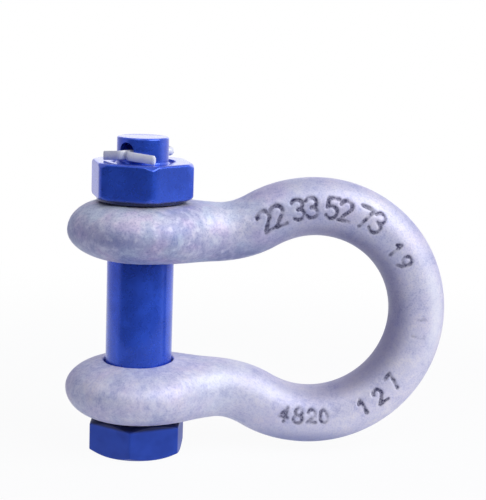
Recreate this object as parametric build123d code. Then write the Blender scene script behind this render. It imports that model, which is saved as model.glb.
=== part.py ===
from build123d import *
import os
from math import acos, asin, cos, degrees, pi, radians, sin, sqrt, tan

# Bolt-type bow shackle. The bolt stands upright on the Z axis with its nut on top,
# and the bow reaches out along X. The origin is on the bolt's axis, midway between
# the two ears. Lengths are in millimetres and angles in degrees.

# Body, the clear spaces that a rigger measures
jaw_width = 33.4  # between the flat inner faces of the ears
inside_length = 73.2  # from the bolt to the inside of the crown
bow_inside_width = 52.0

# Body, its bar from the neck behind each ear to the crown
neck_thickness = 19.0
shoulder_thickness = 19.6
side_thickness = 19.2
crown_thickness = 18.6
neck_depth = 19.6
crown_depth = 20.2
reverse_radius = 30.5  # centre line of the bend that turns the bar outwards

# Body, its ears
ear_diameter = 48.4
ear_thickness = 19.4
seat_flat = 24.0  # across the outer face, before the rim starts to round
jaw_flat = 12.0  # across the inner face, which is rounder
bar_flat = 0.6  # what is left of those flats along the round bar
neck_fillet = 24.0  # in plan, between the round ear and the bar
mouth_chamfer = 0.5

# Sections drawn along each half of the bar
neck_sections = 10
bend_sections = 4
bow_sections = 12

# Bolt
bolt_diameter = 22.0
bolt_clearance = 0.6  # all round the bolt in each ear
end_play = 0.3  # under the head, and again under the nut
thread_diameter = 20.0
end_diameter = 16.9
end_length = 8.0  # what stands out of the nut
end_chamfer = 0.4
head_across_flats = 29.6
head_height = 11.7
head_turn = -9.0  # of one corner, from the front
head_face_share = 0.97  # round left on each face, of the width across flats
head_corner_angle = 30.0  # at which the corners are turned off

# Nut
nut_across_flats = 31.1
nut_height = 13.0
nut_turn = 8.9
nut_face_share = 1.05
nut_corner_angle = 45.0
washer_face_diameter = 29.6  # round face that the nut bears on
washer_face_height = 1.0
nut_clearance = 0.1  # all round the thread
nut_countersink = 0.8

# Split pin, folded from half-round wire, and its hole
pin_diameter = 3.0
pin_hole_diameter = 5.6
pin_hole_rise = 3.7  # of its axis, above the nut
pin_turn = -131.0  # direction in which the legs leave the bolt
pin_clearance = 0.1  # above the bottom of its hole, and above the nut
eye_outer_diameter = 6.0
eye_flare = 2.2  # radius at the throat of the eye
eye_gap = 0.15  # between the bolt and the throat
leg_bend_radius = 2.2  # of the flat outer side
leg_gap = 0.3  # between a bent leg and the bolt
right_leg_bend = 105.0
right_leg_length = 8.4
left_leg_bend = 95.0
left_leg_length = 6.3
leg_overlap = 0.75  # of the straight legs and their bends, where they are joined

# Heights along the bolt
outer_face = jaw_width / 2 + ear_thickness
ear_height = (jaw_width + ear_thickness) / 2
seat = outer_face + end_play
nut_top = seat + nut_height
bolt_end = nut_top + end_length
pin_hole_height = nut_top + pin_hole_rise
pin_height = pin_hole_height - (pin_hole_diameter - pin_diameter) / 2 + pin_clearance
hole_diameter = bolt_diameter + 2 * bolt_clearance

# Centre line of the bar: straight out of the ear, a reverse bend, then the round bow
bow_radius = (bow_inside_width + side_thickness) / 2
bow_centre = (bolt_diameter + crown_thickness) / 2 + inside_length - bow_radius
turn = acos((ear_height + reverse_radius) / (bow_radius + reverse_radius))
straight_length = bow_centre - (bow_radius + reverse_radius) * sin(turn)
shoulder = straight_length + reverse_radius * turn
bow_side = shoulder + bow_radius * turn
crown = bow_side + bow_radius * pi / 2

# Plan of the ear: a round that runs into the bar through a hollow fillet
ear_radius = ear_diameter / 2
fillet_centre = sqrt((ear_radius + neck_fillet) ** 2 - (neck_depth / 2 + neck_fillet) ** 2)
ear_tangent = fillet_centre * ear_radius / (ear_radius + neck_fillet)


def eased(distance, places, values):
    """Value that passes smoothly through those given at places along the bar."""
    if distance >= places[-1]:
        return values[-1]
    for i in range(len(places) - 1):
        if distance < places[i + 1]:
            share = max(0, (distance - places[i]) / (places[i + 1] - places[i]))
            return values[i] + (values[i + 1] - values[i]) * (1 - cos(pi * share)) / 2


def thickness(distance):
    places = [ear_tangent / 2, straight_length, shoulder, bow_side, crown]
    values = [ear_thickness, neck_thickness, shoulder_thickness, side_thickness, crown_thickness]
    return eased(distance, places, values)


def depth(distance):
    if distance < ear_tangent:
        return 2 * sqrt(ear_radius**2 - distance**2)
    if distance < fillet_centre:
        hollow = sqrt(neck_fillet**2 - (fillet_centre - distance) ** 2)
        return neck_depth + 2 * (neck_fillet - hollow)
    return eased(distance, [fillet_centre, crown], [neck_depth, crown_depth])


def flat_width(distance, ear_flat):
    return eased(distance, [0, fillet_centre], [ear_flat, bar_flat])


def bar_plane(distance):
    """Plane across the bar, at a distance along its centre line from the upper ear."""
    lower = distance > crown
    along = 2 * crown - distance if lower else distance
    if along < straight_length:
        lean, x, z = 0, along, ear_height
    elif along < shoulder:
        lean = (along - straight_length) / reverse_radius
        x = straight_length + reverse_radius * sin(lean)
        z = ear_height + reverse_radius * (1 - cos(lean))
    else:
        lean = (bow_side - along) / bow_radius
        x = bow_centre - bow_radius * sin(lean)
        z = bow_radius * cos(lean)
    if lower:
        return Plane((x, 0, -z), x_dir=(0, 1, 0), z_dir=(-cos(lean), 0, sin(lean)))
    return Plane((x, 0, z), x_dir=(0, 1, 0), z_dir=(cos(lean), 0, sin(lean)))


def bar_section(distance):
    """Flats out and in with quarter ellipses to the rims, which become a round bar."""
    along = min(distance, 2 * crown - distance)
    half = thickness(along) / 2
    rim = depth(along) / 2
    seat_edge = flat_width(along, seat_flat) / 2
    jaw_edge = flat_width(along, jaw_flat) / 2
    outline = [
        EllipticalCenterArc((jaw_edge, 0), rim - jaw_edge, half, -90, arc_size=90),
        EllipticalCenterArc((seat_edge, 0), rim - seat_edge, half, 0, arc_size=90),
        Line((seat_edge, half), (-seat_edge, half)),
        EllipticalCenterArc((-seat_edge, 0), rim - seat_edge, half, 90, arc_size=90),
        EllipticalCenterArc((-jaw_edge, 0), rim - jaw_edge, half, 180, arc_size=90),
        Line((-jaw_edge, -half), (jaw_edge, -half)),
    ]
    return bar_plane(distance) * make_face(outline)


def spaced(start, end, count):
    return [start + (end - start) * i / count for i in range(count)]


def bar():
    half = spaced(0, straight_length, neck_sections)
    half += spaced(straight_length, shoulder, bend_sections)
    half += spaced(shoulder, crown, bow_sections)
    whole = half + [crown] + [2 * crown - d for d in reversed(half)]
    return loft([bar_section(d) for d in whole])


def ear_back():
    """Rear half of the upper ear, turned about the bolt's axis from the bar's first section."""
    half = ear_thickness / 2
    seat_edge = seat_flat / 2
    jaw_edge = jaw_flat / 2
    outline = [
        Line((0, half), (seat_edge, half)),
        EllipticalCenterArc((seat_edge, 0), ear_radius - seat_edge, half, 0, arc_size=90),
        EllipticalCenterArc((jaw_edge, 0), ear_radius - jaw_edge, half, -90, arc_size=90),
        Line((jaw_edge, -half), (0, -half)),
        Line((0, -half), (0, half)),
    ]
    return Pos(0, 0, ear_height) * revolve(Plane.YZ * make_face(outline), Axis.Z, 180)


def ear_hole():
    """Cutter for one hole, with its mouths broken at 45 degrees."""
    half = ear_thickness / 2
    radius = hole_diameter / 2
    beyond = mouth_chamfer
    outline = Polyline(
        (0, -half - beyond),
        (radius + mouth_chamfer + beyond, -half - beyond),
        (radius, -half + mouth_chamfer),
        (radius, half - mouth_chamfer),
        (radius + mouth_chamfer + beyond, half + beyond),
        (0, half + beyond),
        close=True,
    )
    return revolve(Plane.XZ * make_face(outline), Axis.Z)


def shackle_body():
    body = bar() + ear_back() + Rot(180, 0, 0) * ear_back()
    for height in (ear_height, -ear_height):
        body -= Pos(0, 0, height) * ear_hole()
    return body


def hexagon(across_flats, height, corner_turn, face_share, corner_angle):
    """Hexagonal block from z = 0, its corners turned off on both faces."""
    blank = extrude(RegularPolygon(across_flats / 2, 6, major_radius=False), height)
    face = across_flats * face_share / 2
    outside = across_flats * 0.6  # just past the corners
    drop = (outside - face) * tan(radians(corner_angle))
    outline = Polyline(
        (0, 0),
        (face, 0),
        (outside, drop),
        (outside, height - drop),
        (face, height),
        (0, height),
        close=True,
    )
    turned = revolve(Plane.XZ * make_face(outline), Axis.Z)
    return Rot(0, 0, corner_turn - 90) * (blank & turned)


def bolt():
    """Hexagon head, shank, thread's outside and plain end, drilled for the split pin."""
    shank_end = seat
    taper = (thread_diameter - end_diameter) / 2
    outline = Polyline(
        (0, -seat),
        (bolt_diameter / 2, -seat),
        (bolt_diameter / 2, shank_end),
        (thread_diameter / 2, shank_end),
        (thread_diameter / 2, nut_top - taper),
        (end_diameter / 2, nut_top),
        (end_diameter / 2, bolt_end - end_chamfer),
        (end_diameter / 2 - end_chamfer, bolt_end),
        (0, bolt_end),
        close=True,
    )
    stem = revolve(Plane.XZ * make_face(outline), Axis.Z)
    block = hexagon(head_across_flats, head_height, head_turn, head_face_share, head_corner_angle)
    head = Pos(0, 0, -seat - head_height) * block
    hole = Cylinder(pin_hole_diameter / 2, 2 * end_diameter, rotation=(0, 90, 0))
    return stem + head - Pos(0, 0, pin_hole_height) * Rot(0, 0, pin_turn) * hole


def hex_nut():
    """Hexagon on a round washer face, bored for the bolt's thread."""
    body_height = nut_height - washer_face_height
    block = hexagon(nut_across_flats, body_height, nut_turn, nut_face_share, nut_corner_angle)
    blank = Pos(0, 0, washer_face_height) * block
    blank += extrude(Circle(washer_face_diameter / 2), washer_face_height)
    bore = thread_diameter / 2 + nut_clearance
    mouth = bore + nut_countersink
    outline = Polyline(
        (0, 0),
        (mouth, 0),
        (bore, nut_countersink),
        (bore, nut_height - nut_countersink),
        (mouth, nut_height),
        (0, nut_height),
        close=True,
    )
    cutter = revolve(Plane.XZ * make_face(outline), Axis.Z)
    return Pos(0, 0, seat) * (blank - cutter)


def half_round(x, toward):
    """Half-round wire across the pin at x, flat against its middle plane."""
    radius = pin_diameter / 2
    outline = [CenterArc((0, 0), radius, -90, 180), Line((0, radius), (0, -radius))]
    return Plane((x, 0, 0), x_dir=(0, 1, 0), z_dir=(toward, 0, 0)) * make_face(outline)


def eye_half(throat):
    """One side of the eye, which flares out from the throat and runs round to its back."""
    inner = (eye_outer_diameter - pin_diameter) / 2
    flare = degrees(acos(eye_flare / (eye_flare + inner)))
    opening = JernArc((throat, 0), (-1, 0), eye_flare, -flare)
    loop = JernArc(opening @ 1, opening % 1, inner, 90 + flare)
    return sweep(half_round(throat, -1), opening + loop)


def bend_start(bend):
    """Distance from the bolt's axis at which a leg begins to turn, to end beside the bolt."""
    reach = (end_diameter + pin_diameter) / 2 + leg_gap
    return (reach - leg_bend_radius * (1 - cos(radians(bend)))) / sin(radians(bend))


def bent_leg(leg_end, bend, length):
    """One leg, turned aside round the bolt and pressed down onto the nut."""
    straight = Line((leg_end, 0), (bend_start(bend), 0))
    curl = JernArc(straight @ 1, straight % 1, leg_bend_radius, bend)
    tail = Line(curl @ 1, curl @ 1 + length * (curl % 1))
    leg = sweep(half_round(leg_end, 1), straight + curl + tail)
    drop = pin_height - nut_top - pin_diameter / 2 - pin_clearance
    return Rot(-degrees(asin(drop / (tail @ 1).Y)), 0, 0) * leg


def split_pin():
    throat = -end_diameter / 2 - eye_gap
    leg_end = min(bend_start(right_leg_bend), bend_start(left_leg_bend)) - leg_overlap
    legs = Cylinder(pin_diameter / 2, leg_end - throat, rotation=(0, 90, 0))
    pin = bent_leg(leg_end, right_leg_bend, right_leg_length)
    pin += mirror(bent_leg(leg_end, left_leg_bend, left_leg_length), Plane.XZ)
    pin += Pos((leg_end + throat) / 2, 0, 0) * legs
    pin += eye_half(throat) + mirror(eye_half(throat), Plane.XZ)
    return Pos(0, 0, pin_height) * Rot(0, 0, pin_turn) * pin


os.makedirs("parts", exist_ok=True)
for name, piece in {
    "shackle_body": shackle_body(),
    "bolt": bolt(),
    "hex_nut": hex_nut(),
    "split_pin": split_pin(),
}.items():
    export_step(piece, f"parts/{name}.step")
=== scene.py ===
import bmesh
import bpy
import numpy as np
from math import radians
from mathutils import Matrix, Vector


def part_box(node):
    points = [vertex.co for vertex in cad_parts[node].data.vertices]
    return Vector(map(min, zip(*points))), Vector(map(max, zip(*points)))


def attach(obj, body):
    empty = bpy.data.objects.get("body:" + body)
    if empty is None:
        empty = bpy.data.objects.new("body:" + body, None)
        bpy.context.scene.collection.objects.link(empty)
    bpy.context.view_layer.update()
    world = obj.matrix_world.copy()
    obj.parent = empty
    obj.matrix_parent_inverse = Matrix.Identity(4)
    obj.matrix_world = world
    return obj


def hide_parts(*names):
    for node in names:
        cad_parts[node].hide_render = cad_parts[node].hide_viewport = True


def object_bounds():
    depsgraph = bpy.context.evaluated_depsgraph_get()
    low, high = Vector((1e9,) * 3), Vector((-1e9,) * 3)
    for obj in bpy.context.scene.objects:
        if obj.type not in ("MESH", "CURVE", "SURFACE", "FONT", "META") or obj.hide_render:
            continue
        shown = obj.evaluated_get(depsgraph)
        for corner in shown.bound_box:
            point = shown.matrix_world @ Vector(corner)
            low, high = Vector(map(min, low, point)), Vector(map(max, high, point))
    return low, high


# Bow shackle with a blue bolt and nut, on a pale floor. Lengths are millimetres in this
# script and become metres in makePiece and in the materials. The bolt stands on the Z axis
# and the bow runs along X.
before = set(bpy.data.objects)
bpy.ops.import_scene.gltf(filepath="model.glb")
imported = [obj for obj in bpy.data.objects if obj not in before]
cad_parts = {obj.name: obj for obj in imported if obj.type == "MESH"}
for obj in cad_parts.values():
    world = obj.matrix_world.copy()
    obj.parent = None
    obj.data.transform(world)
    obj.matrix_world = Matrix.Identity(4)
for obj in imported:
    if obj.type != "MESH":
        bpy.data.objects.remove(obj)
cadLow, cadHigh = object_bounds()
mm = 0.001
print("frame loaded:", ", ".join(sorted(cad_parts)))


def boxOf(node):  # lowest and highest corner of a frame node, in millimetres
    low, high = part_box(node)
    return np.array(low) / mm, np.array(high) / mm


bodyHigh = boxOf("shackle_body")[1]
boltLow, boltHigh = boxOf("bolt")
nutLow, nutHigh = boxOf("hex_nut")
seatHeight = nutLow[2]  # underside of the nut
nutTop = nutHigh[2]


# Surfaces

def gridFaces(rows, columns, closeRows, closeColumns):
    # Four corners of every cell of a grid of points, as one array of indexes.
    row = np.arange(rows if closeRows else rows - 1)[:, None]
    column = np.arange(columns if closeColumns else columns - 1)[None, :]
    nextRow = (row + 1) % rows
    nextColumn = (column + 1) % columns
    corners = [row * columns + column, row * columns + nextColumn,
               nextRow * columns + nextColumn, nextRow * columns + column]
    return np.stack(corners, axis=-1).reshape(-1, 4)


def makePiece(name, grids, body, node, material, sharpAngle=50, marks=None):
    # One welded mesh from grids of points, each given as (points, closeRows, closeColumns).
    points, faces, start = [], [], 0
    for grid, closeRows, closeColumns in grids:
        points.append(grid.reshape(-1, 3))
        faces.append(gridFaces(grid.shape[0], grid.shape[1], closeRows, closeColumns) + start)
        start += grid.shape[0] * grid.shape[1]
    points = np.concatenate(points) * mm
    faces = np.concatenate(faces)
    mesh = bpy.data.meshes.new(name)
    mesh.vertices.add(len(points))
    mesh.vertices.foreach_set("co", points.ravel())
    mesh.loops.add(faces.size)
    mesh.loops.foreach_set("vertex_index", faces.ravel().astype(np.int32))
    mesh.polygons.add(len(faces))
    mesh.polygons.foreach_set("loop_start", np.arange(0, faces.size, 4, dtype=np.int32))
    if marks is not None:
        layer = mesh.attributes.new("marks", "FLOAT", "POINT")
        layer.data.foreach_set("value", marks.astype(np.float32))
    mesh.update(calc_edges=True)
    weld(mesh)
    piece = bpy.data.objects.new(name, mesh)
    bpy.context.collection.objects.link(piece)
    mesh.materials.append(material)
    finishSurface(mesh, sharpAngle)
    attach(piece, body)
    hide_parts(node)
    print(name, "made,", len(mesh.polygons), "faces")
    return piece


def weld(mesh):
    # Joins the seams and poles of the grids, and points every face outwards.
    work = bmesh.new()
    work.from_mesh(mesh)
    bmesh.ops.remove_doubles(work, verts=work.verts, dist=0.002 * mm)
    bmesh.ops.recalc_face_normals(work, faces=work.faces)
    work.to_mesh(mesh)
    work.free()


def finishSurface(mesh, sharpAngle):
    mesh.polygons.foreach_set("use_smooth", np.ones(len(mesh.polygons), dtype=bool))
    mesh.set_sharp_from_angle(angle=radians(sharpAngle))
    mesh.update()


def runLength(run):  # never zero, so that it can divide
    return np.maximum(np.linalg.norm(run, axis=-1, keepdims=True), 1e-6)


def roundedPath(corners, radius, steps=4, longestShare=0.45):
    # A path of straight runs whose inner corners are rounded by parabolas, none of which takes
    # up more than longestShare of a run. Corners has one row for each corner and one column
    # for each direction round the axis.
    path = [corners[:1]]
    blend = np.linspace(0, 1, steps + 1)[:, None, None]
    for before, corner, after in zip(corners[:-2], corners[1:-1], corners[2:]):
        back = before - corner
        ahead = after - corner
        backLength = runLength(back)
        aheadLength = runLength(ahead)
        cut = np.minimum(radius, longestShare * np.minimum(backLength, aheadLength))
        first = corner + back / backLength * cut
        last = corner + ahead / aheadLength * cut
        through = 2 * blend * (1 - blend) * corner
        path.append((1 - blend) ** 2 * first + through + blend**2 * last)
    path.append(corners[-1:])
    return np.concatenate(path)


def turned(profile, angles):
    # Points (radius, height) of a profile, carried round the Z axis.
    radius, height = profile[..., 0], profile[..., 1]
    return np.stack([radius * np.cos(angles), radius * np.sin(angles), height], axis=-1)


# Shackle body

shackle = {
    "neckThickness": 19.0,
    "shoulderThickness": 19.6,
    "sideThickness": 19.2,
    "crownThickness": 18.6,
    "neckDepth": 19.6,
    "crownDepth": 20.2,
    "reverseRadius": 30.5,
    "earThickness": 19.4,
    "seatFlat": 24.0,
    "jawFlat": 12.0,
    "neckFillet": 24.0,
    "barFlat": 0.6,
    "endPlay": 0.3,
    "holeRadius": 11.6,
    "mouth": 0.6,  # worn edge of each hole
    "joinAt": 16.0,  # distance from the bolt at which the ear's grid meets the bar's
    "frontCells": 46,  # a quarter of the section, on the stamped side
    "rearCells": 16,
    "bowStep": 0.31,
    "neckStep": 0.8,
    "faceRows": 30,  # from an ear's rim to its hole
    "mouthRows": 5,
    "wallRows": 10,
    "rearColumns": 96,  # round the half of an ear that is behind the bolt
}

bowRadius = bodyHigh[2] - shackle["sideThickness"] / 2
bowCentre = bodyHigh[0] - shackle["crownThickness"] / 2 - bowRadius
earRadius = bodyHigh[1]
earHeight = seatHeight - shackle["endPlay"] - shackle["earThickness"] / 2
turn = np.arccos((earHeight + shackle["reverseRadius"]) / (bowRadius + shackle["reverseRadius"]))
straightLength = bowCentre - (bowRadius + shackle["reverseRadius"]) * np.sin(turn)
shoulder = straightLength + shackle["reverseRadius"] * turn
bowSide = shoulder + bowRadius * turn
crown = bowSide + bowRadius * np.pi / 2
filletCentre = np.sqrt((earRadius + shackle["neckFillet"]) ** 2
                       - (shackle["neckDepth"] / 2 + shackle["neckFillet"]) ** 2)
earTangent = filletCentre * earRadius / (earRadius + shackle["neckFillet"])


def eased(distance, places, values):
    # Starts at the first value and adds a half cosine wave between each place and the next.
    result = np.full_like(distance, values[0])
    for i in range(len(places) - 1):
        share = np.clip((distance - places[i]) / (places[i + 1] - places[i]), 0, 1)
        result += (values[i + 1] - values[i]) * (1 - np.cos(np.pi * share)) / 2
    return result


def sectionSizes(distance):
    # Half thickness, half width to the rim, and half width of the outer and the inner flat, at
    # a distance along the bar.
    s = shackle
    half = eased(distance, [earTangent / 2, straightLength, shoulder, bowSide, crown],
                 [s["earThickness"], s["neckThickness"], s["shoulderThickness"],
                  s["sideThickness"], s["crownThickness"]]) / 2
    roundEar = np.sqrt(np.maximum(earRadius**2 - distance**2, 0))
    towardFillet = np.clip(filletCentre - distance, 0, s["neckFillet"])
    hollow = np.sqrt(np.maximum(s["neckFillet"] ** 2 - towardFillet**2, 0))
    fillet = s["neckDepth"] / 2 + s["neckFillet"] - hollow
    straight = eased(distance, [filletCentre, crown], [s["neckDepth"], s["crownDepth"]]) / 2
    width = np.where(distance < filletCentre, fillet, straight)
    width = np.where(distance < earTangent, roundEar, width)
    outer = eased(distance, [0, filletCentre], [s["seatFlat"], s["barFlat"]]) / 2
    inner = eased(distance, [0, filletCentre], [s["jawFlat"], s["barFlat"]]) / 2
    return half, width, outer, inner


def centreLine(distance):
    # Straight out of the ear, a reverse arc, then the bow's arc to the crown; past the crown
    # the same line is mirrored to below. Gives x, z and the direction out of the bow.
    lower = np.where(distance > crown, -1.0, 1.0)
    along = np.minimum(distance, 2 * crown - distance)
    reverse = np.clip((along - straightLength) / shackle["reverseRadius"], 0, turn)
    bow = (bowSide - along) / bowRadius
    onBow = along >= shoulder
    x = np.where(onBow, bowCentre - bowRadius * np.sin(bow),
                 np.minimum(along, straightLength) + shackle["reverseRadius"] * np.sin(reverse))
    z = np.where(onBow, bowRadius * np.cos(bow),
                 earHeight + shackle["reverseRadius"] * (1 - np.cos(reverse)))
    lean = np.where(onBow, bow, reverse)
    return x, z * lower, -np.sin(lean), np.cos(lean) * lower


def sectionLoop():
    # Places round the section, from the front rim over the top and back under: the share of a
    # quarter, and the signs of Y and of the outward direction there.
    front = np.linspace(0, 1, shackle["frontCells"], endpoint=False)
    rear = np.linspace(0, 1, shackle["rearCells"], endpoint=False)
    frontBack = np.linspace(1, 0, shackle["frontCells"], endpoint=False)
    rearBack = np.linspace(1, 0, shackle["rearCells"], endpoint=False)
    quarter = np.concatenate([front, rearBack, rear, frontBack])
    counts = [len(front), len(rear), len(rear), len(front)]
    return quarter, np.repeat([-1, 1, 1, -1], counts), np.repeat([1, 1, -1, -1], counts)


def barGrid():
    # Flats out and in with quarter ellipses to the rims: on an ellipse, y = flat + rim * cos
    # and out = half * sin of an angle; the rest of each quarter is the flat.
    necks = int((shoulder - shackle["joinAt"]) / shackle["neckStep"])
    bows = int(2 * (crown - shoulder) / shackle["bowStep"])
    distance = np.concatenate([
        np.linspace(shackle["joinAt"], shoulder, necks, endpoint=False),
        np.linspace(shoulder, 2 * crown - shoulder, bows, endpoint=False),
        np.linspace(2 * crown - shoulder, 2 * crown - shackle["joinAt"], necks + 1),
    ])[:, None]
    quarter, ySign, outSign = sectionLoop()
    half, width, outer, inner = sectionSizes(np.minimum(distance, 2 * crown - distance))
    flat = np.where(outSign > 0, outer, inner)
    rim = width - flat
    rimLength = np.pi / 2 * np.sqrt((rim**2 + half**2) / 2)
    rimShare = rimLength / (rimLength + flat)
    angle = np.clip(quarter / rimShare, 0, 1) * np.pi / 2
    across = np.clip((quarter - rimShare) / (1 - rimShare), 0, 1)
    y = ySign * (rim * np.cos(angle) + flat * (1 - across))
    out = outSign * half * np.sin(angle)
    x, z, outX, outZ = centreLine(distance)
    return np.stack([x + outX * out, y, z + outZ * out], axis=-1)


def sheetHeight(x, y, outside):
    # Height of the ear's outer or inner face over its middle plane: the bar's section in front
    # of the bolt, and the same section turned about the bolt behind it.
    half, width, outer, inner = sectionSizes(np.maximum(x, 0))
    flat = outer if outside else inner
    beside = np.where(x > 0, np.abs(y), np.hypot(x, y))
    onRim = np.clip((beside - flat) / (width - flat), 0, 1)
    return half * np.sqrt(np.maximum(1 - onRim**2, 0))


def earDirections(edge):
    # Directions from the bolt to each point of the bar's first section, then on round the rear
    # rim, and how far the ear reaches in each.
    front = np.arctan2(edge[:, 1], shackle["joinAt"])
    rear = np.linspace(front[-1], 2 * np.pi + front[0], shackle["rearColumns"] + 2)[1:-1]
    reach = np.concatenate([shackle["joinAt"] / np.cos(front), np.full(len(rear), earRadius)])
    return np.concatenate([front, rear]), reach


def earFace(edge, outside):
    # Rows run from the rim in to the hole and over its worn mouth, which is a quarter round.
    hole, mouth = shackle["holeRadius"], shackle["mouth"]
    angles, reach = earDirections(edge)
    share = np.sin(np.linspace(1, 0, shackle["faceRows"]) * np.pi / 2)[:, None]
    radius = hole + mouth + (reach - hole - mouth) * share
    x = radius * np.cos(angles)
    y = radius * np.sin(angles)
    sheet = np.stack([x, y, sheetHeight(x, y, outside)], axis=-1)
    wear = np.linspace(0, np.pi / 2, shackle["mouthRows"] + 1)[1:, None]
    wornRadius = hole + mouth * (1 - np.sin(wear)) + 0 * angles
    wornHeight = sheet[-1, :, 2] - mouth * (1 - np.cos(wear))
    worn = turned(np.stack([wornRadius, wornHeight], axis=-1), angles)
    return angles, np.concatenate([sheet, worn])


def earGrid(side):
    # The outer face, the wall of the hole, and the inner face from the hole back to the rim.
    rearRim = shackle["frontCells"] + shackle["rearCells"]
    section = barGrid()[0]
    outerAngles, outer = earFace(section[:rearRim + 1], True)
    innerAngles, inner = earFace(np.concatenate([section[rearRim:], section[:1]])[::-1], False)
    inner = inner[::-1] * (1, 1, -1)
    down = np.linspace(0, 1, shackle["wallRows"] + 2)[1:-1, None]
    wallAngles = outerAngles * (1 - down) + innerAngles * down
    wallHeight = outer[-1, :, 2] * (1 - down) + inner[0, :, 2] * down
    wallRadius = np.full_like(wallHeight, shackle["holeRadius"])
    wall = turned(np.stack([wallRadius, wallHeight], axis=-1), wallAngles)
    ear = np.concatenate([outer, wall, inner]) * (1, 1, side)
    return ear + np.array([0, 0, side * earHeight])


# Numerals stamped into the bow: each stroke is a run of points, or an arc given as its
# centre, half width, half height, first and last angle, in a cell one unit high.

cellMiddle = (0.3, 0.5)

strokes = {
    "0": [(0.3, 0.5, 0.28, 0.5, 0, 360)],
    "1": [[(0.32, 0), (0.32, 1), (0.1, 0.76)]],
    "2": [(0.3, 0.71, 0.28, 0.29, 165, -38), [(0.52, 0.53), (0.02, 0), (0.6, 0)]],
    "3": [(0.27, 0.76, 0.26, 0.24, 150, -90), (0.27, 0.27, 0.3, 0.27, 90, -150)],
    "4": [[(0.45, 0), (0.45, 1), (0, 0.3), (0.62, 0.3)]],
    "5": [[(0.56, 1), (0.1, 1), (0.06, 0.55)], (0.27, 0.31, 0.3, 0.31, 125, -150)],
    "7": [[(0, 1), (0.58, 1), (0.2, 0)]],
    "8": [(0.3, 0.76, 0.24, 0.24, 0, 360), (0.3, 0.27, 0.29, 0.27, 0, 360)],
    "9": [(0.3, 0.71, 0.27, 0.29, 0, 360), [(0.57, 0.71), (0.46, 0.2), (0.2, 0)]],
}

stamps = {
    "strokeWidth": 1.9,
    "depth": 0.5,
    "lip": 0.03,  # metal pushed up beside a stroke
    "lipMiddle": 1.25,  # the lip's middle and width, in half strokes
    "lipWidth": 0.35,
    "press": 0.68,  # mean share of the depth; no numeral was struck quite square
    "pressVaries": 0.42,
    "reach": 14,  # degrees to either side that one numeral can mark
    # Numeral, degrees round the bow, distance of its middle out from the bar's centre line,
    # height, which is negative where the numeral faces the other way, and share of the depth
    "digits": [
        ("2", 119.6, 0.8, 6.8, 1.0), ("2", 112.6, 0.8, 6.8, 1.0),
        ("3", 101.8, 0.8, 6.6, 1.0), ("3", 94.8, 0.8, 6.6, 1.0),
        ("5", 84.2, 0.8, 6.6, 1.0), ("2", 77.2, 0.9, 6.6, 1.0),
        ("7", 66.4, 1.0, 6.8, 1.0), ("3", 59.2, 1.2, 6.8, 0.9),
        ("1", 42.0, -1.4, 5.0, 0.8), ("9", 33.4, -1.4, 5.0, 0.8),
        ("1", -1.0, -0.6, 3.6, 0.25), ("1", -10.5, -0.4, 4.2, 0.25),
        ("7", -39.0, -1.0, -5.2, 0.9), ("2", -50.0, -0.6, -5.2, 1.0),
        ("1", -60.5, -0.6, -5.2, 1.0),
        ("4", -106.0, -1.0, -4.6, 0.8), ("8", -97.8, -1.4, -4.8, 0.8),
        ("2", -90.4, -1.6, -4.2, 0.7), ("0", -83.4, -1.4, -4.2, 0.7),
    ],
}


def strokePoints(stroke):
    # A run's corners as they are; on an arc, the centre plus half width * cos of the angle
    # across and half height * sin up.
    if isinstance(stroke, list):
        return np.array(stroke, dtype=float)
    centreX, centreY, wide, high, first, last = stroke
    angle = np.radians(np.linspace(first, last, 15))
    return np.stack([centreX + wide * np.cos(angle), centreY + high * np.sin(angle)], axis=-1)


def nearestStroke(numeral, along, up, height):
    # Distance from every place to the nearest stroke: each place is dropped square onto each
    # straight run, held between its ends.
    nearest = np.full(along.shape, np.inf)
    for stroke in strokes[numeral]:
        points = (strokePoints(stroke) - cellMiddle) * height
        for start, end in zip(points[:-1], points[1:]):
            runX, runY = end - start
            share = ((along - start[0]) * runX + (up - start[1]) * runY) / (runX**2 + runY**2)
            share = np.clip(share, 0, 1)
            nearest = np.minimum(nearest, np.hypot(along - start[0] - share * runX,
                                                   up - start[1] - share * runY))
    return nearest


def stampDepths(points):
    # A stroke's floor is a smooth round trough, with a low lip beside it. Gives how far each
    # point moves in, and how much painted shade it takes.
    bearing = np.degrees(np.arctan2(points[:, 2], points[:, 0] - bowCentre))
    outward = np.hypot(points[:, 0] - bowCentre, points[:, 2]) - bowRadius
    depth = np.zeros(len(points))
    dark = np.zeros(len(points))
    half = stamps["strokeWidth"] / 2
    for numeral, place, middle, height, share in stamps["digits"]:
        side = np.sign(height)
        tall = abs(height)
        aside = (place - bearing) * side
        near = (np.abs(aside) < stamps["reach"]) & (points[:, 1] < 0)
        along = np.radians(aside[near]) * (bowRadius + middle)
        up = (outward[near] - middle) * side
        distance = nearestStroke(numeral, along, up, tall)
        wave = np.sin(along * 1.1 + up * 0.6 + place)
        wave = wave * np.sin(up * 1.2 - along * 0.4 + 2 * place)
        share = share * (stamps["press"] + stamps["pressVaries"] * wave)
        trough = np.clip(1 - (distance / half) ** 2, 0, 1) ** 1.5
        fromLip = (distance - stamps["lipMiddle"] * half) / (stamps["lipWidth"] * half)
        lip = np.exp(-fromLip**2) * (distance > half)
        depth[near] += share * (stamps["depth"] * trough - stamps["lip"] * lip)
        dark[near] = np.maximum(dark[near], trough * share)
    return depth, dark


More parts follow.
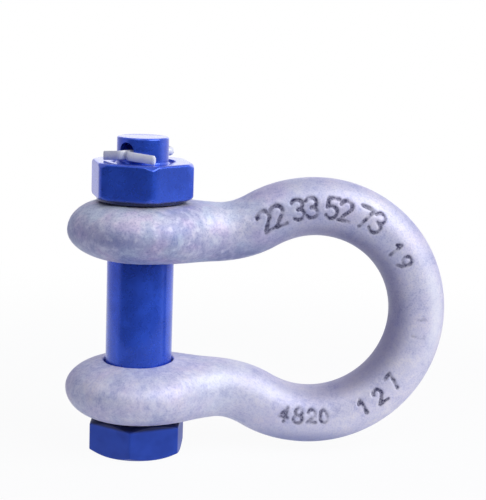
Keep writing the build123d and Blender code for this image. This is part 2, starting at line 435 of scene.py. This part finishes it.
def stampedBar():
    # Each point of the bar moves in along its normal, which is the cross product of the steps
    # along and round the bar, by the depth of the stamps there.
    bar = barGrid()
    flat = bar.reshape(-1, 3)
    depth, dark = stampDepths(flat)
    rowStep = np.gradient(bar, axis=0)
    around = np.concatenate([bar[:, -1:], bar, bar[:, :1]], axis=1)
    columnStep = around[:, 2:] - around[:, :-2]
    normal = np.cross(rowStep, columnStep)
    normal /= np.linalg.norm(normal, axis=-1, keepdims=True)
    crownRow = len(bar) // 2
    fromMiddle = bar[crownRow, 0] - bar[crownRow].mean(axis=0)
    outwards = np.sign(np.sum(normal[crownRow, 0] * fromMiddle))
    moved = flat - outwards * normal.reshape(-1, 3) * depth[:, None]
    return moved.reshape(bar.shape), dark


print("surfaces ready")


# Materials

def colour(red, green, blue):  # from screen values 0 to 255 to a linear colour
    share = np.array([red, green, blue]) / 255
    linear = np.where(share <= 0.04045, share / 12.92, ((share + 0.055) / 1.055) ** 2.4)
    return (*linear.tolist(), 1.0)


class Wire:
    # One output socket, with the usual operators written as Math nodes.
    def __init__(self, board, socket):
        self.board = board
        self.socket = socket

    def maths(self, operation, first, second):
        return self.board.add("ShaderNodeMath", {"operation": operation}, {0: first, 1: second})

    def __add__(self, other):
        return self.maths("ADD", self, other)

    def __radd__(self, other):
        return self.maths("ADD", other, self)

    def __sub__(self, other):
        return self.maths("SUBTRACT", self, other)

    def __rsub__(self, other):
        return self.maths("SUBTRACT", other, self)

    def __mul__(self, other):
        return self.maths("MULTIPLY", self, other)

    def __rmul__(self, other):
        return self.maths("MULTIPLY", other, self)


class Board:
    # A material's node tree. One method adds any node: its type, its settings, then the
    # values or wires of its sockets, by name or by number.
    def __init__(self, material):
        material.use_nodes = True
        self.tree = material.node_tree
        self.tree.nodes.clear()

    def add(self, kind, settings={}, sockets={}, output=0):
        node = self.tree.nodes.new(kind)
        for key, value in settings.items():
            setattr(node, key, value)
        for key, value in sockets.items():
            if isinstance(value, Wire):
                self.tree.links.new(value.socket, node.inputs[key])
            else:
                node.inputs[key].default_value = value
        return Wire(self, node.outputs[output]) if len(node.outputs) else None

    def mix(self, factor, first, second, blend="MIX"):
        settings = {"data_type": "RGBA", "blend_type": blend}
        return self.add("ShaderNodeMix", settings, {0: factor, 6: first, 7: second}, 2)

    def noise(self, place, scale, detail=2.0, roughness=0.5):
        return self.add("ShaderNodeTexNoise", {}, {
            "Vector": place, "Scale": scale, "Detail": detail, "Roughness": roughness})

    def between(self, value, low, high):
        # A smooth ramp, 0 up to low and 1 from high on. Low may be the larger of the two.
        return self.add("ShaderNodeMapRange", {"interpolation_type": "SMOOTHSTEP"}, {
            "Value": value, "From Min": low, "From Max": high})

    def parts(self, vector):  # its X, Y and Z
        first = self.add("ShaderNodeSeparateXYZ", {}, {"Vector": vector})
        return [Wire(self, output) for output in first.socket.node.outputs]

    def distance(self, vector):  # its length
        return self.add("ShaderNodeVectorMath", {"operation": "LENGTH"}, {0: vector}, "Value")


def newMaterial(name):
    material = bpy.data.materials.new(name)
    board = Board(material)
    place = board.add("ShaderNodeTexCoord", output="Object")
    return material, board, place


galvanised = {
    "pale": colour(242, 238, 246),
    "middle": colour(226, 224, 242),
    "deep": colour(193, 194, 226),
    "warm": (1.0, 0.84, 0.95, 1.0),  # tints that the tone is multiplied with
    "cool": (0.86, 0.97, 0.98, 1.0),
    # The speck colour also paints highlights; dull also paints shade; inner is painted shade
    # inside the bow; stampDark is painted shade in the stamps.
    "speckAndHighlight": colour(244, 246, 254),
    "dull": colour(130, 138, 186),
    "inner": colour(106, 103, 140),
    "stampDark": colour(60, 58, 92),
    "metallic": 0.28,
    "specular": 0.3,
    "roughness": 0.50,
    "reliefDepth": 0.28,
    "patchScale": 110,  # each noise's cells in a metre
    "cloudScale": 420,
    "grainScale": 1700,
    "speckScale": 520,
    "tintScale": 130,
    "mottleScale": 290,
    "earShade": 0.42,  # what follows are strengths, from 0 to 1
    "earClouds": 0.45,
    "pits": 0.22,
    "earPits": 0.18,
    "earBlotches": 0.26,
    "earGlints": 0.32,
    "flecks": 0.10,
    "earFlecks": 0.26,
    "tints": 0.15,
    "earWarm": 0.40,
    "earCool": 0.50,
    # Strengths of painted shade on the bow's outer rim, underside and inside, and of the painted
    # highlight on its ridge.
    "outerRim": 0.20,
    "underside": 0.80,
    "innerRim": 0.62,
    "ridge": 0.50,
    "wear": 0.40,  # how much of the stamps' painted shade is left out, at random
    # Zones of painted shade and painted highlight: colour, strength, then ramps along X and ramps
    # up Z, each from the place where the zone isn't to the place where it is full
    "zones": [
        ("dull", 0.20, [(78, 45)], []),  # painted shade, from the middle of the bow to the ears
        ("speckAndHighlight", 0.70, [(20, 0)], [(29, 34)]),  # painted highlight on the upper ear's top, round the seat
        ("dull", 0.30, [(3, 10), (22, 15)], [(18, 27)]),  # painted shade on the upper ear, right of the nut
        ("speckAndHighlight", 0.40, [(17, 23), (34, 27)], [(27, 32)]),  # painted highlight on the saddle before the bow
        ("dull", 0.65, [(16, 30), (70, 45)], [(26, 18.5), (0, 10)]),  # painted shade under the upper neck
        ("dull", 0.22, [], [(-35, 30)]),  # painted shade on all of it, more towards the top
        ("speckAndHighlight", 0.25, [(18, 24), (40, 33)], [(-10, -18)]),  # painted highlight on the lower neck
    ],
}


def galvanisedSteel():
    # A tone from three noises, then zones of painted shade and highlight, then pits, specks and
    # tints, the bow's rims with painted shade and highlight, then the stamps' painted shade.
    material, board, place = newMaterial("galvanised_steel")
    g = galvanised
    patches = board.noise(place, g["patchScale"], 3)
    clouds = board.noise(place, g["cloudScale"], 4, 0.65)
    grain = board.noise(place, g["grainScale"], 3, 0.65)
    specks = board.noise(place, g["speckScale"])
    tint = board.noise(place, g["tintScale"])
    mottle = board.noise(place, g["mottleScale"], 3, 0.6)
    marks = board.add("ShaderNodeAttribute", {"attribute_name": "marks"}, output="Fac")
    along, height = board.parts(place)[::2]
    rough = board.between(along, 62 * mm, 12 * mm)  # the ears are rougher than the bow
    upper = 0.4 + board.between(height, -10 * mm, 10 * mm) * 0.6

    tone = patches * 0.40 + clouds * 0.35 + grain * 0.25
    base = board.mix(board.between(tone, 0.36, 0.50), g["deep"], g["middle"])
    base = board.mix(board.between(tone, 0.48, 0.62), base, g["pale"])
    # Painted shade on the upper ear, below its top and mottled by the clouds.
    upperEar = board.between(along, 22 * mm, -10 * mm) * board.between(height, 20 * mm, 27 * mm)
    upperEar = upperEar * board.between(height, 33 * mm, 26.5 * mm)
    upperEar = upperEar * (1 - board.between(along, -8 * mm, -22 * mm) * 0.7)
    base = board.mix(upperEar * (g["earShade"] + clouds * g["earClouds"]), base, g["dull"])
    # The zones of painted shade and painted highlight.
    for finish, zone, alongRamps, heightRamps in g["zones"]:
        for low, high in alongRamps:
            zone = zone * board.between(along, low * mm, high * mm)
        for low, high in heightRamps:
            zone = zone * board.between(height, low * mm, high * mm)
        base = board.mix(zone, base, g[finish])

    pits = board.between(grain, 0.50, 0.36) * (g["pits"] + rough * g["earPits"]) * upper
    base = board.mix(pits, base, g["dull"])
    blotches = board.between(mottle, 0.50, 0.36) * rough * upper
    base = board.mix(blotches * g["earBlotches"], base, g["dull"])
    glints = board.between(mottle, 0.51, 0.65) * rough * upper
    base = board.mix(glints * g["earGlints"], base, g["speckAndHighlight"])
    flecks = board.between(specks, 0.46, 0.74) * (g["flecks"] + rough * g["earFlecks"])
    base = board.mix(flecks * (1 - upperEar * 0.55), base, g["speckAndHighlight"])
    warm = board.between(tint, 0.50, 0.66) * (g["tints"] + rough * g["earWarm"]) * upper
    base = board.mix(warm, base, g["warm"], "MULTIPLY")
    cool = board.between(tint, 0.50, 0.36) * (g["tints"] + rough * g["earCool"]) * upper
    base = board.mix(cool, base, g["cool"], "MULTIPLY")

    fromCentre = board.distance(board.add("ShaderNodeVectorMath", {"operation": "MULTIPLY_ADD"}, {
        0: place, 1: (1, 0, 1), 2: (-bowCentre * mm, 0, 0)}))

    def outOfLine(low, high):  # ramp over the distance out of the bar's centre line
        return board.between(fromCentre, (bowRadius + low) * mm, (bowRadius + high) * mm)

    onBow = board.between(along, 40 * mm, 75 * mm)
    # Painted shade on the bow's outer rim and on its underside.
    outside = outOfLine(7.4, 9.5) * onBow
    below = board.between(height, -37.5 * mm, -44.5 * mm) * board.between(along, 20 * mm, 40 * mm)
    base = board.mix(outside * g["outerRim"] + below * g["underside"], base, g["dull"])
    # Painted shade inside the bow.
    base = board.mix(outOfLine(-2, -8.5) * onBow * g["innerRim"], base, g["inner"])
    # A painted highlight along the ridge of the bow's side.
    ridge = outOfLine(1.5, 4.5) * (1 - outOfLine(5.8, 7.8)) * onBow
    ridge = ridge * board.between(height, -20 * mm, -6 * mm)
    ridge = ridge * board.between(height, 21 * mm, 9 * mm)
    base = board.mix(ridge * g["ridge"], base, g["speckAndHighlight"])
    # Painted shade in the stamps' troughs, left out at random in places.
    worn = board.between(clouds + grain, 0.80, 1.15) * g["wear"]
    base = board.mix(board.between(marks, 0.0, 0.6) * (1 - worn), base, g["stampDark"])

    gloss = g["roughness"] + rough * 0.07 + (clouds - 0.5) * 0.35 + marks * 0.2
    relief = grain * 0.28 + clouds * 1.2 + specks * 0.3
    bump = board.add("ShaderNodeBump", {}, {
        "Height": relief, "Strength": 0.5, "Distance": g["reliefDepth"] * mm})
    shader = board.add("ShaderNodeBsdfPrincipled", {}, {
        "Base Color": base, "Roughness": gloss, "Metallic": g["metallic"],
        "Specular IOR Level": g["specular"], "Normal": bump})
    board.add("ShaderNodeOutputMaterial", {}, {"Surface": shader})
    return material


paint = {
    "blue": colour(47, 92, 221),
    "deep": colour(38, 81, 203),
    # Painted shade: darkening beside the seats of the nut and the head, and over the head.
    "paintedShade": colour(10, 14, 48),
    "shadeReach": 1.6,  # how far the painted shade reaches from the seats of the nut and the head
    "seatShade": 0.90,
    "headShade": 0.42,  # painted shade over the whole head
    "roughness": 0.28,
    "metallic": 0.50,
    "coat": 0.58,
    "shankCoat": 0.40,  # the shank's is thinner
    "flowScale": 160,
    "rippleScale": 600,
    "rippleDepth": 0.2,
}


def bluePaint():
    material, board, place = newMaterial("blue_paint")
    p = paint
    flow = board.noise(place, p["flowScale"])
    ripple = board.noise(place, p["rippleScale"])
    base = board.mix(board.between(flow, 0.35, 0.65), p["deep"], p["blue"])
    height = board.parts(place)[2]
    # Painted shade on the nut and the head just beside their seats, where the ears meet them.
    for seat, away in ((seatHeight * mm, 1), (-seatHeight * mm, -1)):
        gap = (height - seat) * away
        outside = board.between(gap, -0.2 * mm, 0.0)
        near = board.between(gap, 1.2 * p["shadeReach"] * mm, 0.5 * p["shadeReach"] * mm)
        base = board.mix(outside * near * p["seatShade"], base, p["paintedShade"])
    # Painted shade over the whole head, which also has no coat and is rougher.
    head = board.between(height, -33.5 * mm, -40 * mm)
    base = board.mix(head * p["headShade"], base, p["paintedShade"])
    belowNut = board.between(height, 24 * mm, 20 * mm)
    coat = (1 - head) * (p["coat"] - belowNut * (p["coat"] - p["shankCoat"]))
    rough = p["roughness"] + (ripple - 0.5) * 0.1 + head * 0.2
    bump = board.add("ShaderNodeBump", {}, {
        "Height": ripple, "Strength": 0.06, "Distance": p["rippleDepth"] * mm})
    shader = board.add("ShaderNodeBsdfPrincipled", {}, {
        "Base Color": base, "Roughness": rough, "Normal": bump, "Metallic": p["metallic"],
        "Specular IOR Level": 0.5, "Coat Weight": coat, "Coat Roughness": 0.06})
    board.add("ShaderNodeOutputMaterial", {}, {"Surface": shader})
    return material


zinc = {
    "pale": colour(242, 245, 250),
    "dull": colour(232, 234, 246),
    "roughness": 0.30,
    "metallic": 0.05,
    "stainScale": 500,
    "grainScale": 2600,
    "grainDepth": 0.03,
}


def brightSteel():
    material, board, place = newMaterial("bright_steel")
    stain = board.noise(place, zinc["stainScale"], 3)
    grain = board.noise(place, zinc["grainScale"])
    base = board.mix(board.between(stain, 0.45, 0.65), zinc["pale"], zinc["dull"])
    rough = zinc["roughness"] + (stain - 0.5) * 0.2
    bump = board.add("ShaderNodeBump", {}, {
        "Height": grain, "Strength": 0.05, "Distance": zinc["grainDepth"] * mm})
    shader = board.add("ShaderNodeBsdfPrincipled", {}, {
        "Base Color": base, "Roughness": rough, "Metallic": zinc["metallic"], "Normal": bump})
    board.add("ShaderNodeOutputMaterial", {}, {"Surface": shader})
    return material


steelFinish = galvanisedSteel()
blueFinish = bluePaint()
zincFinish = brightSteel()
print("materials ready")

bar, dark = stampedBar()
upperEar, lowerEar = earGrid(1), earGrid(-1)
earMarks = np.zeros(upperEar.shape[0] * upperEar.shape[1])
shackleGrids = [(grid, False, True) for grid in (bar, upperEar, lowerEar)]
makePiece("shackle_body_forging", shackleGrids, "shackle", "shackle_body",
          steelFinish, marks=np.concatenate([dark, earMarks, earMarks]))


# Hexagons, turned profiles

def hexagonColumns(cornerTurn, cells=24, crowding=0.8):
    # Directions round a hexagon, closer together at its corners: the step varies as a cosine.
    share = np.arange(cells) / cells
    sector = 60 * (share - crowding * np.sin(2 * np.pi * share) / (2 * np.pi))
    return np.radians((cornerTurn - 90 + 60 * np.arange(6)[:, None] + sector[None, :]).ravel())


def hexagonReach(angles, cornerTurn, acrossFlats, power):
    # Distance to a hexagon's side in each direction, its corners softened by taking a high
    # power mean of the distances to the six sides.
    normals = np.radians(cornerTurn - 60 + 60 * np.arange(6))
    facing = np.maximum(np.cos(angles[:, None] - normals[None, :]), 0)
    return acrossFlats / 2 / np.sum(facing**power, axis=1) ** (1 / power)


def path(angles, *corners):
    # One row for each corner (radius, height), either of which may vary over the angles.
    rows = [np.broadcast_arrays(radius, height, angles)[:2] for radius, height in corners]
    return np.stack(rows).transpose(0, 2, 1).astype(float)


headAndShank = {
    "headAcross": 29.6,
    "headHeight": 11.7,
    "headTurn": -9.0,
    "shankRadius": 11.0,
    "threadRadius": 10.0,
    "endRadius": 8.45,
    "endChamfer": 0.4,
    "taperBelow": 1.6,  # from the thread to the plain end, measured down from the nut's top
    "taperAbove": 0.05,
    "cornerPower": 90,  # the higher, the sharper the hexagon's corners
    "coneTangent": np.tan(radians(30)),
    "roundFace": 0.97,  # radius at which the cones start, in halves of the width across
    "edge": 0.35,
    "pinHoleRadius": 2.8,
    "pinHoleRise": 3.7,  # above the nut's top
    "pinTurn": -131.0,  # degrees round the bolt to which the split pin's legs point
}

pinTurn = radians(headAndShank["pinTurn"])


def boltGrid():
    # Up from the middle of the head: the hexagon's reach, cut at both ends by a cone that
    # rises by its tangent times the reach past the round face, then the steps of the shank.
    b = headAndShank
    angles = hexagonColumns(b["headTurn"])
    reach = hexagonReach(angles, b["headTurn"], b["headAcross"], b["cornerPower"])
    face = b["headAcross"] / 2 * b["roundFace"]
    low = boltLow[2]
    under = low + b["headHeight"]
    cone = (reach - face) * b["coneTangent"]
    corners = path(
        angles, (0, low), (face, low), (reach, low + cone), (reach, under - cone), (face, under),
        (b["shankRadius"], under), (b["shankRadius"], seatHeight), (b["threadRadius"], seatHeight),
        (b["threadRadius"], nutTop - b["taperBelow"]), (b["endRadius"], nutTop - b["taperAbove"]),
        (b["endRadius"], boltHigh[2] - b["endChamfer"]),
        (b["endRadius"] - b["endChamfer"], boltHigh[2]), (0, boltHigh[2]))
    return turned(roundedPath(corners, b["edge"]), angles)


def boltPiece():
    b = headAndShank
    piece = makePiece("bolt_with_head", [(boltGrid(), False, True)], "bolt_set",
                      "bolt", blueFinish, sharpAngle=60)
    bpy.ops.mesh.primitive_cylinder_add(
        vertices=64, radius=b["pinHoleRadius"] * mm, depth=4 * b["endRadius"] * mm,
        location=(0, 0, (nutTop + b["pinHoleRise"]) * mm),
        rotation=(radians(90), 0, pinTurn + radians(90)))
    drill = bpy.context.object
    cut = piece.modifiers.new("hole", "BOOLEAN")
    cut.operation = "DIFFERENCE"
    cut.object = drill
    cut.solver = "EXACT"
    ready = piece.evaluated_get(bpy.context.evaluated_depsgraph_get())
    drilled = bpy.data.meshes.new_from_object(ready)
    piece.modifiers.clear()
    piece.data = drilled
    bpy.data.objects.remove(drill)
    finishSurface(drilled, 40)
    print("bolt drilled,", len(drilled.polygons), "faces")


boltPiece()

hexNut = {
    "across": 31.1,
    "turn": 8.9,
    "boreRadius": 10.1,
    "countersink": 0.8,
    "cornerPower": 32,
    "coneTangent": np.tan(radians(45)),
    "roundFace": 1.05,
    "leastBevel": 0.5,  # so the flats are bevelled too
    "washerRadius": 14.8,
    "washerHeight": 1.0,
    "edge": 0.4,
}


def nutGrid():
    # Round the wall, from the middle of the bore down and out over the washer face, up the
    # hexagon between its two cones, and over the top back into the bore.
    n = hexNut
    angles = hexagonColumns(n["turn"])
    reach = hexagonReach(angles, n["turn"], n["across"], n["cornerPower"])
    bevel = np.maximum(reach - n["across"] / 2 * n["roundFace"], n["leastBevel"])
    cone = bevel * n["coneTangent"]
    face = reach - bevel
    bore = n["boreRadius"]
    mouth = bore + n["countersink"]
    low, high = seatHeight, nutTop
    under = low + n["washerHeight"]
    middle = (bore, (low + high) / 2)
    corners = path(
        angles, middle, (bore, low + n["countersink"]), (mouth, low), (n["washerRadius"], low),
        (n["washerRadius"], under), (face, under), (reach, under + cone), (reach, high - cone),
        (face, high), (mouth, high), (bore, high - n["countersink"]), middle)
    return turned(roundedPath(corners, n["edge"]), angles)[:-1]


makePiece("hex_nut_painted", [(nutGrid(), True, True)], "bolt_set", "hex_nut",
          blueFinish, sharpAngle=60)

splitPin = {
    "radius": 1.5,
    "eyeFlare": 2.2,  # radius by which each half turns out into the eye
    "eyeInner": 1.5,
    "throat": -8.6,  # where the eye begins, measured from the bolt's axis towards the legs
    "height": 51.9,
    "bendRadius": 2.2,
    "legGap": 0.3,
    "legs": ((105.0, 8.4), (95.0, 6.3)),  # degrees of bend and length beyond it, right then left
    "edge": 0.16,
    "tipShare": 0.86,  # size of a tip's end face
    "tipBevel": 0.15,
    "overNut": 0.1,  # gap that the tips keep from the nut
}


def arc(centreX, centreY, radius, first, last, count):
    # The centre plus the radius times cos and sin of the angles from first to last.
    angle = np.radians(np.linspace(first, last, count))
    return np.stack([centreX + radius * np.cos(angle), centreY + radius * np.sin(angle)], axis=-1)


def halfWire(bend, length):
    # From the leg's tip along its bend and through the bolt to the back of the eye: straight
    # runs and arcs, along the wire's flat side.
    p = splitPin
    reach = headAndShank["endRadius"] + p["radius"] + p["legGap"]
    start = (reach - p["bendRadius"] * (1 - np.cos(radians(bend)))) / np.sin(radians(bend))
    curl = arc(start, p["bendRadius"], p["bendRadius"], bend - 90, -90, 16)
    outward = np.array([np.cos(radians(bend)), np.sin(radians(bend))])
    tail = curl[0] + outward * np.linspace(length, 0, 12, endpoint=False)[:, None]
    through = np.linspace(start, p["throat"], 24)[1:-1]
    straight = np.stack([through, np.zeros_like(through)], axis=-1)
    flare = np.degrees(np.arccos(p["eyeFlare"] / (p["eyeFlare"] + p["eyeInner"])))
    mouth = arc(p["throat"], p["eyeFlare"], p["eyeFlare"], -90, -90 - flare, 9)
    centre = p["throat"] - (p["eyeFlare"] + p["eyeInner"]) * np.sin(radians(flare))
    loop = arc(centre, 0, p["eyeInner"], 90 - flare, 180, 20)[1:]
    return np.concatenate([tail, curl, straight, mouth, loop])


def pinGrid():
    # The half-round section, flat on the line, is carried along the line with its round side
    # to the right; the legs sink towards the nut in step with their distance sideways.
    p = splitPin
    right, left = [halfWire(bend, length) for bend, length in p["legs"]]
    line = np.concatenate([right, (left * (1, -1))[-2::-1]])
    ahead = np.gradient(line, axis=0)
    ahead /= np.linalg.norm(ahead, axis=-1, keepdims=True)
    aside = np.stack([ahead[:, 1], -ahead[:, 0]], axis=-1)
    turnAngle = np.radians(np.linspace(10, 170, 15))
    roundSide = p["radius"] * np.stack([np.sin(turnAngle), np.cos(turnAngle)], axis=-1)
    half = p["radius"] - 2 * p["edge"]
    section = np.concatenate([roundSide, [(0.02, -half), (0.02, 0), (0.02, half)]])
    flat = line[:, None, :] + aside[:, None, :] * section[:, :1]
    sink = np.where(line[:, 0] > 0, np.abs(line[:, 1]), 0)
    tips = np.where(np.arange(len(line)) < len(right), abs(right[0, 1]), abs(left[0, 1]))
    drop = p["height"] - nutTop - p["radius"] - p["overNut"]
    height = p["height"] + section[:, 1] - (drop * sink / tips)[:, None]
    x = flat[..., 0] * np.cos(pinTurn) - flat[..., 1] * np.sin(pinTurn)
    y = flat[..., 0] * np.sin(pinTurn) + flat[..., 1] * np.cos(pinTurn)
    rows = np.stack([x, y, height], axis=-1)

    def cap(end, inner):  # bevelled end: a smaller outline, then its middle
        centre = rows[end].mean(axis=0)
        ahead = rows[end] - rows[inner]
        bevel = centre + (rows[end] - centre) * p["tipShare"]
        bevel = bevel + ahead / runLength(ahead) * p["tipBevel"]
        return bevel, np.repeat(bevel.mean(axis=0)[None], len(section), axis=0)

    firstBevel, firstMiddle = cap(0, 1)
    lastBevel, lastMiddle = cap(-1, -2)
    return np.concatenate([firstMiddle[None], firstBevel[None], rows,
                           lastBevel[None], lastMiddle[None]])


makePiece("split_pin_wire", [(pinGrid(), False, True)], "bolt_set", "split_pin",
          zincFinish, sharpAngle=40)


# Floor, lights and camera

studio = {  # lengths are metres
    "floor": colour(206, 210, 228),
    "floorGlow": 0.95,
    "floorRadius": 0.36,
    "fade": (0.12, 0.34),  # distances over which the floor passes into the white backdrop
    "ambient": 0.12,
    "ambientColour": colour(206, 202, 255),
    "darkRoom": 0.10,  # what shiny surfaces see in front of the shackle
    "darkFloor": 0.80,  # how far they miss the white of the floor there
    "darkFrom": (-0.02, -0.10),  # depths between which that begins
    "ceiling": 0.70,
    "leftWall": 0.74,
    "leftTint": 0.60,  # share of the ambient colour in that wall
    "lamps": [  # name, place, aimed at, width, height, watts
        ("key", (0.66, -0.44, 0.60), (0.04, 0, 0), 0.90, 0.80, 8.9),
        ("fill", (-0.25, -0.70, 0.75), (0.04, 0, 0), 0.60, 0.50, 2.3),
        ("back", (0.20, 1.10, 0.34), (0.04, 0, 0), 1.10, 0.45, 1.0),
    ],
}


def seenDirectly(board):
    # 1 for rays from the camera, and for those that a glass or shiny surface passes on.
    camera = board.add("ShaderNodeLightPath", output="Is Camera Ray")
    glossy = board.add("ShaderNodeLightPath", output="Is Glossy Ray")
    through = board.add("ShaderNodeLightPath", output="Is Transmission Ray")
    rays = camera + glossy + through
    return rays.maths("MINIMUM", rays, 1.0)


def studioFloor():
    material, board, place = newMaterial("floor")
    fade = board.between(board.distance(place), *studio["fade"])
    white = studio["floorGlow"] + fade * (1 - studio["floorGlow"])
    glossy = board.add("ShaderNodeLightPath", output="Is Glossy Ray")
    front = board.between(board.parts(place)[1], *studio["darkFrom"]) * glossy
    seen = seenDirectly(board) * (1 - front * studio["darkFloor"])
    matt = board.add("ShaderNodeBsdfPrincipled", {}, {
        "Base Color": studio["floor"], "Roughness": 0.7, "Specular IOR Level": 0.1})
    glow = board.add("ShaderNodeEmission", {}, {"Color": (1, 1, 1, 1), "Strength": 1.0})
    surface = board.add("ShaderNodeMixShader", {}, {0: seen * white, 1: matt, 2: glow})
    board.add("ShaderNodeOutputMaterial", {}, {"Surface": surface})
    bpy.ops.mesh.primitive_circle_add(vertices=96, radius=studio["floorRadius"], fill_type="NGON",
                                      location=((cadLow[0] + cadHigh[0]) / 2, 0, cadLow[2]))
    floor = bpy.context.object
    floor.name = "floor"
    floor.data.materials.append(material)


def studioWorld():
    # White behind the shackle, on its right and overhead, a tinted wall on its left, and a
    # dark room in front. The camera sees plain white all round.
    world = bpy.data.worlds.new("studio")
    bpy.context.scene.world = world
    board = Board(world)
    camera = board.add("ShaderNodeLightPath", output="Is Camera Ray")
    seen = seenDirectly(board)
    side, depth, height = board.parts(board.add("ShaderNodeTexCoord", output="Generated"))
    wall = board.between(depth + side * 0.5, 0.0, 0.75)
    leftWall = board.between(depth - side * 0.35, -0.10, 0.15) * studio["leftWall"]
    ceiling = board.between(height, 0.55, 0.85) * studio["ceiling"]
    cove = wall
    for part in (ceiling, leftWall, camera):
        cove = cove.maths("MAXIMUM", cove, part)
    bright = studio["darkRoom"] + cove * (1 - studio["darkRoom"])
    tinted = leftWall * (1 - camera) * studio["leftTint"]
    shade = board.mix(seen * (1 - tinted), studio["ambientColour"], (1, 1, 1, 1))
    strength = studio["ambient"] + seen * (bright - studio["ambient"])
    background = board.add("ShaderNodeBackground", {}, {"Color": shade, "Strength": strength})
    board.add("ShaderNodeOutputWorld", {}, {"Surface": background})


def studioLamps():
    for name, place, target, width, height, watts in studio["lamps"]:
        light = bpy.data.lights.new(name, "AREA")
        light.shape = "RECTANGLE"
        light.size = width
        light.size_y = height
        light.energy = watts
        lamp = bpy.data.objects.new(name, light)
        bpy.context.collection.objects.link(lamp)
        lamp.location = place
        lamp.rotation_euler = (Vector(target) - Vector(place)).to_track_quat("-Z", "Y").to_euler()
        lamp.visible_camera = False


view = {
    "place": (-0.011956, -0.44879, 0.100813),
    "right": (0.99485, -0.0955, 0.03392),
    "up": (-0.01646, 0.17801, 0.98389),
    "back": (-0.09999, -0.97938, 0.17552),
    "lens": 99.33,
}


def studioCamera():
    data = bpy.data.cameras.new("camera")
    data.lens = view["lens"]
    data.sensor_width = 36
    data.clip_start = 0.01
    camera = bpy.data.objects.new("camera", data)
    bpy.context.collection.objects.link(camera)
    turnedTo = Matrix((view["right"], view["up"], view["back"])).transposed()
    camera.matrix_world = Matrix.Translation(view["place"]) @ turnedTo.to_4x4()
    bpy.context.scene.camera = camera


studioFloor()
studioWorld()
studioLamps()
studioCamera()
bpy.context.scene.view_settings.view_transform = "Standard"
print("studio ready")
